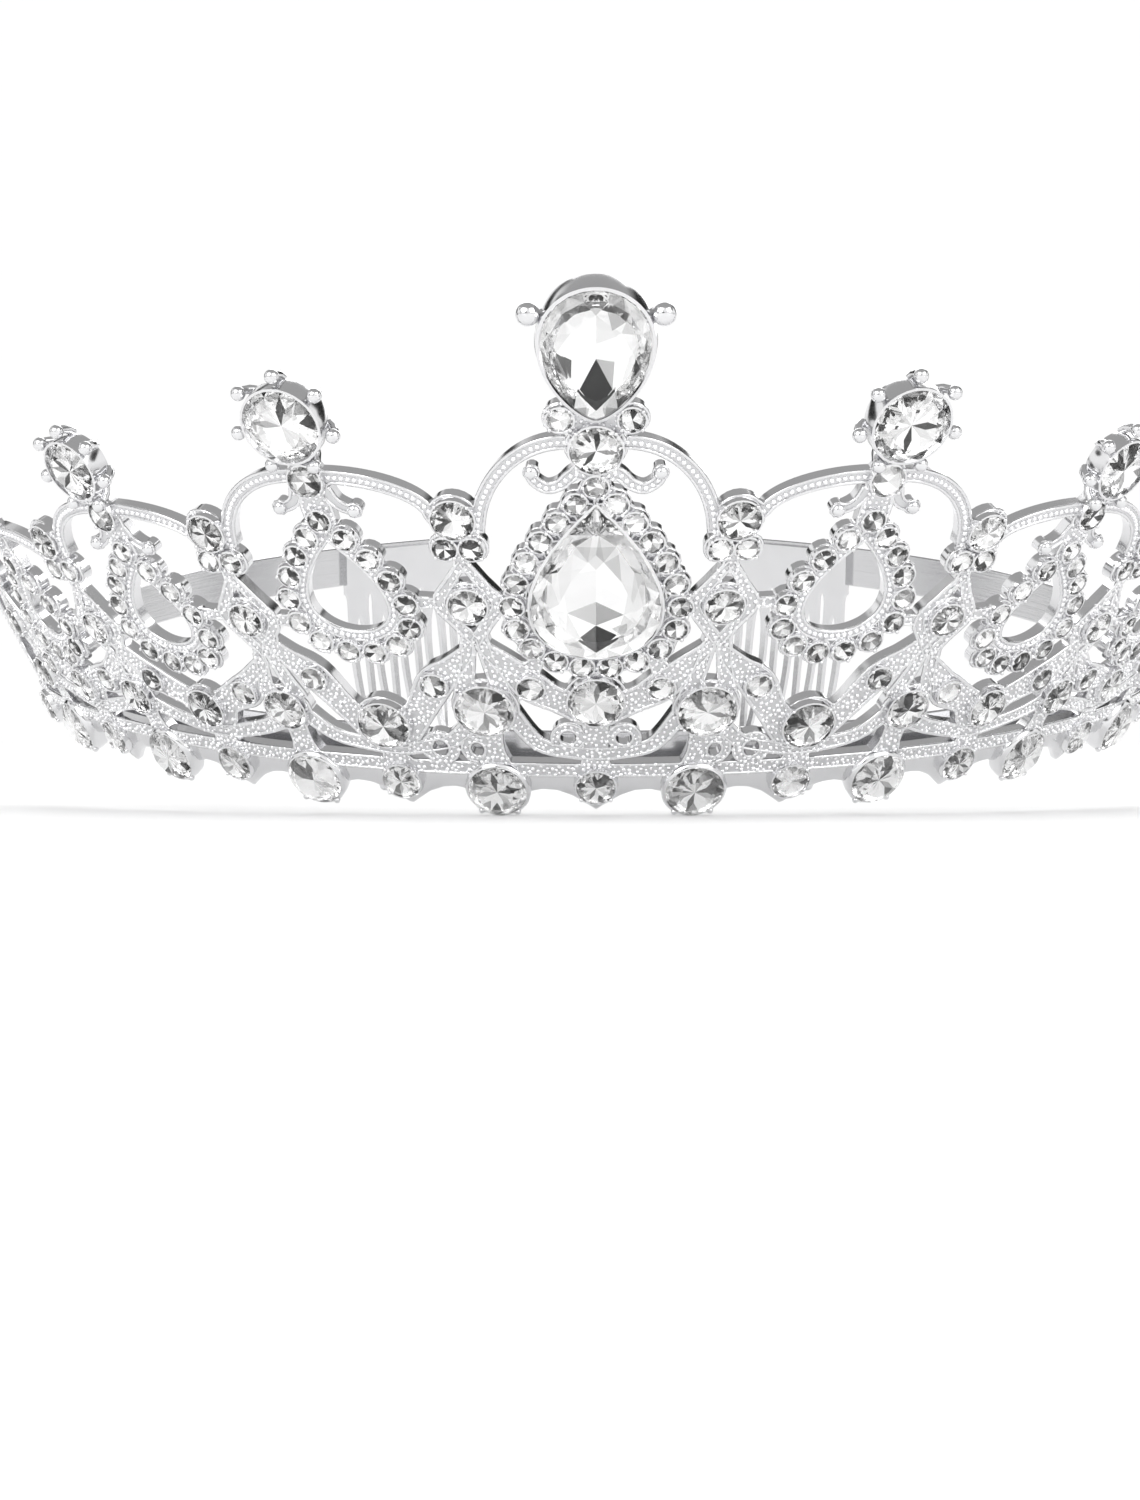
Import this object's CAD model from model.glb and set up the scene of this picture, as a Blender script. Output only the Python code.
import random
from math import atan, atan2, copysign, cos, hypot, pi, radians, sin, sqrt, tau

import bpy
from mathutils import Matrix, Vector
from mathutils.geometry import delaunay_2d_cdt


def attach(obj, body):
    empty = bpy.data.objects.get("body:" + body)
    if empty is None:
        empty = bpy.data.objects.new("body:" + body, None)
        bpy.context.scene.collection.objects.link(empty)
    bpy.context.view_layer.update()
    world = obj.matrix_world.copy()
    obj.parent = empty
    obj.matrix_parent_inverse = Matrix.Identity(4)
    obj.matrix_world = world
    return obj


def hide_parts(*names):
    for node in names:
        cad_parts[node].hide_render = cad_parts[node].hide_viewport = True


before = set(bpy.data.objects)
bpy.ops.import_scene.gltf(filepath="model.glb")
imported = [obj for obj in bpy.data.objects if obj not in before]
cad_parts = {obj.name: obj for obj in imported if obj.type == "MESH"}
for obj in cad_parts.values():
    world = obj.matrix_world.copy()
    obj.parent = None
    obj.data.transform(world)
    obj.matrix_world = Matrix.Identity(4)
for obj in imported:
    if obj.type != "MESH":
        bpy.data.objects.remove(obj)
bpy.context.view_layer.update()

# Strip: a flat spring of plated steel, bent round the head. It follows the front's base line on the
# inside, where the casting is soldered to it, and runs on behind the ears as two free arms. Sizes
# are in millimetres, with the tiara upright, until a mesh is made.
MM = 0.001
BASE_R = 72.0
STRIP_HEIGHT = 6.2
STRIP_THICK = 0.8
STRIP_OUT = -1.3
STRIP_IN = STRIP_OUT - STRIP_THICK
STRIP_LOW = -0.6
STRIP_TURN = radians(80)
STRIP_ROUNDING = 0.18
STRIP_STEPS = 300
ARM_R = 95.0
ARM_END = radians(152)
DULLED = 0.93
CLOUD_SCALE = 220.0
SMEAR_SCALE = 310.0
SMEARED = 0.3
PIT_DEPTH = 0.1 * MM


def strip_place(heading, outward, height):
    """Place on the strip: the heading is 0 straight across the front."""
    free = abs(heading) > STRIP_TURN
    side = copysign(1, heading)
    r = (ARM_R if free else BASE_R) + outward
    shift = BASE_R - ARM_R if free else 0.0
    return Vector((side * shift * sin(STRIP_TURN) + r * sin(heading),
                   -shift * cos(STRIP_TURN) - r * cos(heading), height))


# The front is one openwork wall, bent to a cone that leans outward. A place on it is across and up
# from one of its axes: even axes carry the pear panels and finials, odd ones the lozenge columns.
LEAN = radians(25)
PITCH = radians(8.25)
FAN = 0.004


def wall_radius(v, w=0.0):
    return BASE_R + v * sin(LEAN) + w * cos(LEAN)


def wall_angle(n, a, v):
    return n * PITCH * (1 + FAN * v) + a / wall_radius(v)


def wall_place(angle, v, w):
    r = wall_radius(v, w)
    up = v * cos(LEAN) - w * sin(LEAN)
    return Vector((r * sin(angle), -r * cos(angle), up))


# Laid on a table, the tiara tips forward until two of the large base stones' cups and the first
# tooth of each comb touch it.
BASE_STONE_R = 3.15
CUP_WALL = 0.4
CUP_FACE = 1.05
COMB_W = 25.0
COMB_TEETH = 5
COMB_DROP = 33.0
COMB_CURVE = 6.5
COMB_THICK = 1.0
FRONT_TOP, FRONT_TOP_DEPTH = 59.8, 1.0
cup_low = -BASE_STONE_R - CUP_WALL
front_touch = wall_place(wall_angle(1, 0, cup_low), cup_low, CUP_FACE)
first_tooth = ARM_END - COMB_W * (1 - 0.5 / COMB_TEETH) / ARM_R
rear_touch = strip_place(first_tooth, STRIP_IN - COMB_THICK / 2 - COMB_CURVE, STRIP_LOW - COMB_DROP)
rest_tilt = atan2(front_touch.z - rear_touch.z, rear_touch.y - front_touch.y)
tipped = Matrix.Rotation(rest_tilt, 4, "X")
front_edge = tipped @ wall_place(0, FRONT_TOP, FRONT_TOP_DEPTH)
rear_edge = tipped @ strip_place(ARM_END, STRIP_OUT, STRIP_LOW)
rest_shift = (0, -(front_edge.y + rear_edge.y) / 2, -(tipped @ front_touch).z)
REST = Matrix.Translation(rest_shift) @ tipped


def rested(point):
    return (REST @ point) * MM


class Piece:
    """Gathers one object's points and faces, upright in millimetres, and makes it at rest."""

    def __init__(self, name, *materials):
        self.name = name
        self.materials = materials
        self.points, self.faces, self.face_materials, self.greys = [], [], [], []

    def add(self, points, faces, materials=0, greys=1.0):
        """materials and greys are one number for all the faces, or a list with one for each."""
        first = len(self.points)
        self.points += [rested(p) for p in points]
        self.faces += [[first + i for i in face] for face in faces]
        for whole, new in ((self.face_materials, materials), (self.greys, greys)):
            whole += new if isinstance(new, list) else [new] * len(faces)

    def make(self, slot, *nodes, smooth_below=None):
        mesh = bpy.data.meshes.new(self.name)
        mesh.from_pydata([tuple(p) for p in self.points], [], self.faces)
        for material in self.materials:
            mesh.materials.append(material)
        mesh.polygons.foreach_set("material_index", self.face_materials)
        if min(self.greys) < 1.0:
            grey = mesh.color_attributes.new("facet_grey", "FLOAT_COLOR", "CORNER")
            for face, value in zip(mesh.polygons, self.greys):
                for corner in face.loop_indices:
                    grey.data[corner].color = (value, value, value, 1.0)
        if smooth_below is not None:
            mesh.polygons.foreach_set("use_smooth", [True] * len(mesh.polygons))
            mesh.set_sharp_from_angle(angle=radians(smooth_below))
        mesh.update()
        finished(self.name, mesh, slot, *nodes)


def placed(name, data):
    """A new object in the scene, at the origin."""
    obj = bpy.data.objects.new(name, data)
    bpy.context.scene.collection.objects.link(obj)
    return obj


def finished(name, mesh, slot, *nodes):
    """Puts a piece in the scene, on its body, with its finish and the solids that it stands for."""
    piece = placed(name, mesh)
    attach(piece, "root")
    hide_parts(*nodes)


def wired(tree, node, **given):
    """Sets up a node, or a new one of the kind that is named. What is given in small letters is one
    of its properties. The rest are its sockets: each takes a value, or what another socket or the
    first one of another node gives out."""
    if isinstance(node, str):
        node = tree.nodes.new(node)
    for name, value in given.items():
        if name.islower():
            setattr(node, name, value)
            continue
        if isinstance(value, bpy.types.Node):
            value = next(socket for socket in value.outputs if socket.enabled)
        socket = node.inputs[name.replace("_", " ")]
        if isinstance(value, bpy.types.NodeSocket):
            tree.links.new(value, socket)
        else:
            socket.default_value = value
    return node


def new_material(name):
    material = bpy.data.materials.new(name)
    material.use_nodes = True
    return material, material.node_tree, material.node_tree.nodes["Principled BSDF"]


def object_place(tree):
    return wired(tree, "ShaderNodeTexCoord").outputs["Object"]


def noise_between(tree, place, scale, low=0.0, high=1.0):
    """A value that wanders between low and high over the surface."""
    cloud = wired(tree, "ShaderNodeTexNoise", Scale=scale, Detail=3.0, Vector=place)
    return wired(tree, "ShaderNodeMapRange", To_Min=low, To_Max=high, Value=cloud)


def plated(name, tint, rough, pit_scale, pit_strength, drawn=1.0):
    """Bright plating over metal, a little cloudy and finely pitted. On drawn metal the clouds and
    pits are that many times as long as high."""
    material, tree, shader = new_material(name)
    place = wired(tree, "ShaderNodeMapping", vector_type="TEXTURE", Rotation=(rest_tilt, 0, 0),
                  Scale=(drawn, drawn, 1), Vector=object_place(tree))
    tone = wired(tree, "ShaderNodeMix", data_type="RGBA", A=(*[DULLED * c for c in tint], 1),
                 B=(*tint, 1), Factor=noise_between(tree, place, CLOUD_SCALE))
    smears = noise_between(tree, place, SMEAR_SCALE, (1 - SMEARED) * rough, (1 + SMEARED) * rough)
    relief = wired(tree, "ShaderNodeBump", Strength=pit_strength, Distance=PIT_DEPTH,
                   Height=noise_between(tree, place, pit_scale))
    wired(tree, shader, Metallic=1.0, Base_Color=tone, Roughness=smears, Normal=relief)
    return material


strip_plating = plated("strip_plating", (0.64, 0.64, 0.65), 0.22, 2400.0, 0.25, drawn=24.0)


def skin(rings, closed=False):
    """Faces over rings of points, closed on themselves or with capped ends."""
    m, count = len(rings[0]), len(rings)
    faces = []
    for i in range(count if closed else count - 1):
        for k in range(m):
            a, b = i * m + k, i * m + (k + 1) % m
            c, d = (i + 1) % count * m + k, (i + 1) % count * m + (k + 1) % m
            faces.append([a, c, d, b])
    if not closed:
        faces += [list(range(m)), list(range((count - 1) * m, count * m))[::-1]]
    return [p for ring in rings for p in ring], faces


def evenly(half, steps):
    """Even steps from -half to half."""
    return [(-1 + 2 * i / steps) * half for i in range(steps + 1)]


half_h, half_t = STRIP_HEIGHT / 2, STRIP_THICK / 2
corner = ((0, STRIP_ROUNDING), (STRIP_ROUNDING, 0))
section = [(d * (half_t - x), z * (half_h - y)) for d, z in ((-1, -1), (1, -1), (1, 1), (-1, 1))
           for x, y in corner[::d * z]]
strip = Piece("strip", strip_plating)
strip.add(*skin([[strip_place(heading, STRIP_OUT - half_t + d, STRIP_LOW + half_h + z)
                  for d, z in section] for heading in evenly(ARM_END, STRIP_STEPS)]))
strip.make("metal", "metal", smooth_below=40)

# Combs: each is stamped from plated sheet and bent. Five long teeth, each with a slit down its
# middle, hang from a plate that is soldered to the strip's inner face, and end in balls.
COMB_TOP = STRIP_LOW + STRIP_HEIGHT - 0.7
COMB_PLATE_LOW = STRIP_LOW - 1.4
COMB_PLATE_STEPS = 14
COMB_FACE = STRIP_IN - COMB_THICK
TOOTH_LONG = COMB_DROP - 1.6
TOOTH_HALF = ((0.0, 2.5), (0.04, 2.45), (0.06, 2.05), (0.1, 1.85), (0.25, 1.9), (0.4, 1.9),
              (0.55, 1.7), (0.7, 1.35), (0.85, 0.9), (1.0, 0.5))
SLIT_HALF = ((0.15, 0.0), (0.18, 0.45), (0.25, 0.8), (0.4, 0.95), (0.55, 0.8), (0.7, 0.5),
             (0.82, 0.0))
TOOTH_BALL_R = 0.98
SIDES = (-1, 1)
comb_plating = plated("comb_plating", (0.70, 0.70, 0.71), 0.2, 500.0, 0.15)


def smooth_path(rows, steps):
    """A smooth curve through rows of numbers."""
    path = []
    for i in range(len(rows) - 1):
        p0, p1 = rows[max(i - 1, 0)], rows[i]
        p2, p3 = rows[i + 1], rows[min(i + 2, len(rows) - 1)]
        for k in range(steps):
            t = k / steps
            path.append([0.5 * (2 * b + (c - a) * t + (2 * a - 5 * b + 4 * c - d) * t * t
                                + (3 * b - a - 3 * c + d) * t ** 3)
                         for a, b, c, d in zip(p0, p1, p2, p3)])
    return path + [list(rows[-1])]


def pierce(solid, holes):
    """Joins flat outlines into one sheet and takes the holes out. Gives flat points, and the
    triangles that are kept with the outlines that each lies in."""
    points, faces, owners = [], [], []
    for owner, outline in enumerate(list(solid) + list(holes)):
        parts = [outline] if len(outline) > 4 else [outline[:3], [outline[0]] + outline[2:]]
        for part in parts:
            area = sum(p[0] * q[1] - q[0] * p[1] for p, q in zip(part, part[1:] + part[:1]))
            if abs(area) > 1e-6:
                faces.append(list(range(len(points), len(points) + len(part))))
                points += [Vector(p) for p in (part if area > 0 else part[::-1])]
                owners.append(owner)
    flat, _, triangles, _, _, sources = delaunay_2d_cdt(points, [], faces, 0, 1e-4)
    kept = []
    for triangle, source in zip(triangles, sources):
        inside = [owners[i] for i in source]
        if inside and max(inside) < len(solid):
            kept.append((list(triangle), inside))
    return flat, kept


def sheet_edges(kept):
    """The edges that belong to only one triangle of a sheet."""
    directed = dict.fromkeys((t[i], t[(i + 1) % 3]) for t, _ in kept for i in range(3))
    return [(a, b) for a, b in directed if (b, a) not in directed]


def plate_between(flat, kept, place, back, front):
    """A closed sheet between two depths: its front triangles come first."""
    count = len(flat)
    points = [place(p[0], p[1], depth) for depth in (back, front) for p in flat]
    faces = [[i + count for i in t] for t, _ in kept] + [t[::-1] for t, _ in kept]
    return points, faces + [[a, b, b + count, a + count] for a, b in sheet_edges(kept)]


def turns(count, shift=0.0):
    """Even steps of one whole turn."""
    return [tau * (k + shift) / count for k in range(count)]


def ball(centre, radius, sides=14, rings=10):
    points = [centre - Vector((0, 0, radius)), centre + Vector((0, 0, radius))]
    for j in range(1, rings):
        r, z = radius * sin(pi * j / rings), -radius * cos(pi * j / rings)
        points += [centre + Vector((r * cos(t), r * sin(t), z)) for t in turns(sides)]
    last = len(points) - sides
    faces = []
    for k in range(sides):
        after = (k + 1) % sides
        faces += [[0, 2 + after, 2 + k], [1, last + k, last + after]]
        faces += [[j + k, j + after, j + sides + after, j + sides + k]
                  for j in range(2, last, sides)]
    return points, faces


def cells(edges, low, top):
    """Quads side by side between two heights."""
    return [[(a, low), (b, low), (b, top), (a, top)] for a, b in zip(edges, edges[1:])]


def tooth_outline(x, widths):
    """Outline of one tooth that hangs from the plate at x, or of its slit."""
    half = smooth_path(widths, 4)
    back = half[::-1] if half[0][1] else half[-2:0:-1]
    return ([(x + w, STRIP_LOW - s * TOOTH_LONG) for s, w in half]
            + [(x - w, STRIP_LOW - s * TOOTH_LONG) for s, w in back])


for side, name in zip(SIDES, ("comb_left", "comb_right")):
    comb_middle = side * (ARM_END - COMB_W / ARM_R / 2)

    def comb_place(x, z, depth):
        drop = max(0.0, (STRIP_LOW - z) / TOOTH_LONG)
        return strip_place(comb_middle + x / ARM_R, depth - COMB_CURVE * drop * drop, z)

    outlines = cells(evenly(COMB_W / 2, COMB_PLATE_STEPS), COMB_PLATE_LOW, COMB_TOP)
    teeth = [COMB_W / COMB_TEETH * (k + 0.5 - COMB_TEETH / 2) for k in range(COMB_TEETH)]
    outlines += [tooth_outline(x, TOOTH_HALF) for x in teeth]
    comb = Piece(name, comb_plating)
    flat, kept = pierce(outlines, [tooth_outline(x, SLIT_HALF) for x in teeth])
    comb.add(*plate_between(flat, kept, comb_place, COMB_FACE, STRIP_IN))
    for x in teeth:
        tip = strip_place(comb_middle + x / ARM_R, COMB_FACE + COMB_THICK / 2 - COMB_CURVE,
                          STRIP_LOW - COMB_DROP + 1.0)
        comb.add(*ball(tip, TOOTH_BALL_R))
    comb.make("metal", "metal", smooth_below=35)

# Rim: the smooth, polished foot of the casting. It arches up between the stones, drops to a point
# under each small one and is rounded along its lower edge.
RIM_TOP = 2.2
RIM_STEPS = 420
LAST_AXIS = 8.35
RIM_LOWER_EDGE = ((0.0, -3.1), (0.1, -2.3), (0.25, -1.2), (0.4, -0.55), (0.55, -0.4), (0.7, -0.8),
                  (0.85, -1.4), (1.0, -1.6))
RIM_SECTION = ((-0.5, 1.0), (-0.5, 0.06), (-0.35, 0.0), (0.3, 0.0), (0.52, 0.08), (0.58, 0.5),
               (0.55, 1.0))
polished_plating = plated("polished_plating", (0.80, 0.80, 0.81), 0.15, 900.0, 0.12)


def rim_low(x):
    """Lower edge of the rim at x, counted in axes."""
    d = abs((x + 1) % 2 - 1)
    for (x0, v0), (x1, v1) in zip(RIM_LOWER_EDGE, RIM_LOWER_EDGE[1:]):
        if d <= x1:
            return v0 + (v1 - v0) * (d - x0) / (x1 - x0)
    return RIM_LOWER_EDGE[-1][1]


rim_rings = []
for x in evenly(LAST_AXIS, RIM_STEPS):
    heights = [(w, rim_low(x) + (RIM_TOP + 0.2 - rim_low(x)) * share) for w, share in RIM_SECTION]
    rim_rings.append([wall_place(wall_angle(x, 0, v), v, w) for w, v in heights])
rim = Piece("rim", polished_plating)
rim.add(*skin(rim_rings))
rim.make("metal", "metal", smooth_below=40)

# Lattice: the openwork of the front, cast in one piece with the rim and plated. Scrolls with a bead
# row arch over pear panels and their rings of stones; stippled crescents, garlands and lozenge
# columns join them. Its model was pierced from sheet, so it is drawn flat and cut out as one sheet.
PANELS = (-6, -4, -2, 0, 2, 4, 6)
COLUMNS = (-7, -5, -3, -1, 1, 3, 5, 7)
FACE = 0.65
PANEL_SIZES = ("finial", "finial_r", "small", "small_r", "pear", "pear_w", "pear_h",
               "swag_small", "horn", "swag", "swag_r")
PANEL_ROWS = (
    (52.8, 5.3, 45.6, 0.9, 27.2, 7.0, 9.6, 13.4, 16.8, 11.9, 2.9),
    (44.6, 4.0, 37.9, 1.8, 25.2, 6.5, 8.0, 13.4, 16.4, 8.1, 2.8),
    (37.7, 3.3, 31.9, 1.7, 20.5, 5.9, 7.0, 10.6, 13.4, 7.9, 2.3),
    (31.4, 2.9, 26.6, 1.5, 17.2, 5.0, 5.7, 9.2, 11.4, 7.4, 2.1))
COLUMN_SIZES = ("trefoil", "trefoil_r", "lozenge", "lozenge_r", "fork", "fork_r")
COLUMN_ROWS = (
    (33.9, 2.2, 23.6, 2.0, 10.6, 3.1),
    (31.0, 2.1, 20.4, 1.9, 9.1, 2.4),
    (27.4, 2.0, 16.6, 1.9, 7.8, 2.2),
    (23.6, 1.9, 13.8, 1.8, 7.2, 2.0))
HALO_COUNTS = (21, 15, 13, 11)
HALO_R = 1.2
ARCH_TOPS = (42.6, 38.2, 32.6, 27.2)
ARCH_W = 1.25
ARCH_STEPS = 18
TREFOIL_PAIR = (1.37, -3.5, 1.25)
TOP_PAIR = (3.45, 45.3, 1.3)
BAND_TOP = 3.2
BAND_STEPS = 170
PEAR_SPREAD = 0.055
HALO_OUT, HALO_UP, HALO_DROP = 1.5, 1.25, 0.25
HALO_W = 1.7
LOOP_INSET, LOOP_TALL = 1.62, 1.14
LOOP_W = 0.95
SIDE_CURLS = {2: ((1.6, 36.8, 1.1), (2.2, 35.3, 1.0), (3.2, 34.6, 0.9), (4.05, 34.4, 0.8)),
              4: ((1.4, 30.6, 1.0), (2.0, 29.1, 0.9), (3.0, 28.3, 0.8), (3.9, 28.1, 0.8))}
MIDDLE_CURL = ((1.2, 39.6, 1.2), (2.5, 38.8, 1.1), (3.5, 37.8, 1.0), (4.8, 37.4, 0.9),
               (6.0, 38.2, 0.9), (6.3, 39.0, 0.9))
CROWN_NECK = ((0, 38.4, 3.6), (0, 40, 4.2), (0, 42.1, 6.0), (0, 44, 4.6), (0, 46.5, 3.0))
RIM_RING, RIM_RING_HOLE = (2.9, 6.8, 1.75), 1.0
RIM_EYES = ((1.6, 5.0, 1.7), (5.6, 5.0, 2.0))
stippled, beaded, holes, bead_rows, ridges, curl_ends = [], [], [], [], [], []


def sizes_at(n):
    """The named sizes of the panel or the column on an axis."""
    names, rows = (COLUMN_SIZES, COLUMN_ROWS) if n % 2 else (PANEL_SIZES, PANEL_ROWS)
    return dict(zip(names, rows[abs(n) // 2]))


def axis_gap(v):
    """Distance along the wall from one axis to the next."""
    return wall_radius(v) * PITCH * (1 + FAN * v)


def flat_place(n, a, v):
    """Place on the wall unrolled: distance along the base line, and up the wall."""
    return wall_angle(n, a, v) * BASE_R, v


def bent(s, v, w=FACE):
    """A place of the unrolled wall, bent back to the cone."""
    return wall_place(s / BASE_R, v, w)


def edges_of(rows, inset=0.0, closed=False):
    """Both edges of a stroke of (across, up, width), a pair of places for each row."""
    count = len(rows)
    pairs = []
    for i, (a, v, width) in enumerate(rows):
        after = rows[(i + 1) % count] if closed else rows[min(i + 1, count - 1)]
        before = rows[i - 1] if closed else rows[max(i - 1, 0)]
        dx, dy = after[0] - before[0], after[1] - before[1]
        half = (width / 2 - inset) / (hypot(dx, dy) or 1.0)
        pairs.append(((a - dy * half, v + dx * half), (a + dy * half, v - dx * half)))
    return pairs


def stroke(n, rows, closed=False):
    """Quads along a stroke about axis n."""
    edges = [(flat_place(n, *p), flat_place(n, *q)) for p, q in edges_of(rows, closed=closed)]
    return [[p[0], p[1], q[1], q[0]]
            for p, q in zip(edges, edges[1:] + (edges[:1] if closed else []))]


def disc(n, a, v, r, sides=24, tall=1.0):
    return [[flat_place(n, a + r * cos(t), v + r * tall * sin(t)) for t in turns(sides)]]


def on_side(side, rows):
    return [(side * a, v, width) for a, v, width in rows]


def pear_point(share, half_w, half_h, slim=1.0):
    """Point of a pear outline with its point up; a full pear is less than 1 slim."""
    t = tau * (share + PEAR_SPREAD * slim * sin(tau * share))
    widest = 2 * ((1 + slim) / (2 + slim)) ** ((1 + slim) / 2) / sqrt(2 + slim)
    return -half_w / widest * sin(t) * abs(sin(t / 2)) ** slim, half_h * cos(t)


def halo_outline(n, count, inset=0.0):
    """The line through a panel's ring of stones, or one that lies inside it."""
    p = sizes_at(n)
    out, up, low = (-inset, -LOOP_TALL * inset, 0) if n else (HALO_OUT, HALO_UP, HALO_DROP)
    outline = [pear_point(i / count, p["pear_w"] + out, p["pear_h"] + up) for i in range(count)]
    return [(x, y + p["pear"] - low) for x, y in outline]


def halo_places(n):
    """Middles of a halo's stones, at equal steps round its outline."""
    points = halo_outline(n, 120)
    points.append(points[0])
    runs = [0.0]
    for p, q in zip(points, points[1:]):
        runs.append(runs[-1] + hypot(q[0] - p[0], q[1] - p[1]))
    places, i = [], 0
    count = HALO_COUNTS[abs(n) // 2]
    for k in range(count):
        target = runs[-1] * k / count
        while runs[i + 1] <= target:
            i += 1
        f = (target - runs[i]) / (runs[i + 1] - runs[i])
        places.append(tuple(a + (b - a) * f for a, b in zip(points[i], points[i + 1])))
    return places


def stipple(n, rows, steps=1):
    stippled.extend(stroke(n, smooth_path(rows, steps)))


def boss(n, a, v, r, sides=24):
    stippled.extend(disc(n, a, v, r, sides))


def beaded_scroll(n, rows):
    beaded.extend(stroke(n, rows))
    bead_rows.append((n, [(a, v) for a, v, _ in rows]))


def bordered(n, rows, steps):
    stipple(n, rows, steps)
    ridges.append((n, smooth_path(rows, 5)))


def across(half, middle):
    """Rows from the left end to the right one, from those of the right half."""
    return on_side(-1, half) + [middle] + half[::-1]


def falling(start, reach, top, low, steps):
    """Rows of a quarter arch that leaves the top at start and is upright where it ends."""
    return [(start + (reach - start) * sin(t), low + (top - low) * cos(t), ARCH_W)
            for t in [pi / 2 * i / steps for i in range(steps + 1)]]


def draw_arches(n):
    top = ARCH_TOPS[abs(n) // 2]
    for side in SIDES:
        trefoil = sizes_at(n + side)
        low = min(trefoil["trefoil"], top - 3) - (1.6 if abs(n + side) > abs(n) else 0)
        reach = axis_gap(low) - trefoil["trefoil_r"]
        beaded_scroll(n, on_side(side, falling(1.7 if n else 3.0, reach, top, low, ARCH_STEPS)))


def draw_neck(n):
    p = sizes_at(n)
    low, small, finial = p["pear"] + p["pear_h"], p["small"], p["finial"]
    stipple(n, [(0, low - 0.6, 3.0), (0, low + 1.6, 3.2), (0, small - 2, 2.6),
                (0, small, p["small_r"] * 2 + 0.6), (0, finial - p["finial_r"], 1.8),
                (0, finial, 1.8)] if n else CROWN_NECK, 4)


def draw_halo(n):
    for a, v in halo_places(n):
        boss(n, a, v, HALO_R + 0.22, 16)
    ring = halo_outline(n, 72, LOOP_INSET)
    beaded.extend(stroke(n, [(a, v, LOOP_W if n else HALO_W) for a, v in ring], closed=True))
    if n:
        bead_rows.append((n, ring + ring[:1]))


def draw_crescent_and_garland(n):
    p = sizes_at(n)
    swag, r, horn = p["swag"], p["swag_r"], p["horn"]
    wide = 2 * (r + CUP_WALL)
    gap = axis_gap(horn)
    half = [(gap - 0.2, horn + 1.9, 1.0), (gap - 1.5, horn + 0.5, 1.8),
            (gap - 3.0, horn - 0.9, 2.4), (6.7, p["swag_small"], 3.5),
            (r + 0.9, swag + (1.0 if n else -0.3), 2.9), (0.5 * r, swag - 0.6, 0.8 * wide)]
    bordered(n, across(half, (0, swag - 0.7, wide * 0.84)), 5)
    boss(n, 0, swag, r + 0.3)
    fork, fork_r = [sizes_at(abs(n) + 1)[name] for name in ("fork", "fork_r")]
    reach = axis_gap(fork) - fork_r
    half = [(reach + 0.4, fork - 0.8, 1.7), (reach - 2.4, 5.9, 1.5), (2.4, 4.9, 1.5)]
    bordered(n, across(half, (0, 4.7, 1.6)), 5)
    stipple(n, [(0, RIM_TOP - 0.4, 3.6), (0, 4, 2.6), (0, swag - r * 0.6, 2.4)])


def draw_links(n):
    for side in SIDES:
        lozenge = sizes_at(n + side)["lozenge"]
        reach = sizes_at(n)["pear_w"] + (0.8 if n else 2.3)
        stipple(n, on_side(side, [(reach, lozenge, 1.1), (axis_gap(lozenge) - 2.6, lozenge, 0.9)]))


def draw_middle_extras():
    """Rings over the rim, cusps below the large pear, and curls and the top pair above it."""
    for side in SIDES:
        x, v, r = RIM_RING
        boss(0, side * x, v, r)
        holes.extend(disc(0, side * x, v, RIM_RING_HOLE, 16))
        cusp = [(7.2, sizes_at(0)["swag_small"] + 1.2, 2.4), (6.2, 16.4, 1.4), (5.0, 18.6, 1.0)]
        stipple(0, on_side(side, cusp), 4)
        beaded_scroll(0, smooth_path(on_side(side, MIDDLE_CURL), 4))
        curl_ends.append((0, side * 6.3, 39.2))
        x, v, r = TOP_PAIR
        stipple(0, on_side(side, [(0, v - 1.2, 3.0), (x, v, 2.6)]), 3)
        boss(0, side * x, v, r + 0.3)


def draw_column(n):
    t, tr, l, lr, f, fr = sizes_at(n).values()
    boss(n, 0, t, tr + 0.35)
    for side in SIDES:
        x, v, r = TREFOIL_PAIR
        boss(n, side * x, t + v, r + 0.3, 18)
        bordered(n, [(0.1, l + 4.9, 1.0), (side * 1.7, l + 2.3, 1.1), (side * 3.0, l, 1.3),
                     (side * 1.6, l - 2.4, 1.1), (0.1, l - 4.7, 1.2)], 3)
        top, low = l - 4.2, f + fr * 0.6
        leg = [(0.7, top, 1.3), (1.25, (top + low) / 2, 1.5), (2.1, low, 1.9)]
        bordered(n, on_side(side, leg), 3)
    boss(n, 0, l, lr + 0.5)
    stipple(n, [(0, t - 3.6, 2.2), (0, l + 6.0, 1.2), (0, l + 4.4, 1.5)])
    holes.extend(disc(n, 0, l + 3.2, 0.75, 14))
    boss(n, 0, f, fr + 0.35)
    foot = f - fr
    stipple(n, [(0, foot + 0.4, 2.6), (0, (foot + RIM_TOP) / 2, 2.4), (0, RIM_TOP - 0.4, 4.6)], 3)
    if abs(n) == 1:
        for a, v, r in RIM_EYES:
            boss(n, n * a, v, r, 20)
            holes.extend(disc(n, n * a, v, r * 0.5, 14, 1.2))


def draw_end(side):
    """The wall's end is closed by a scroll that falls to the rim."""
    n, c = 7 * side, sizes_at(7)
    fall = falling(1.6, 9.6, c["trefoil"], 9.2, 14)
    beaded_scroll(n, on_side(side, fall + [(9.4, 2.4, ARCH_W)]))
    stipple(n, on_side(side, [(2.6, c["lozenge"], 1.0), (9.2, 10.0, 1.0)]))
    stipple(n, on_side(side, [(1.8, c["fork"], 1.6), (9.4, 4.4, 1.2)]))


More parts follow.
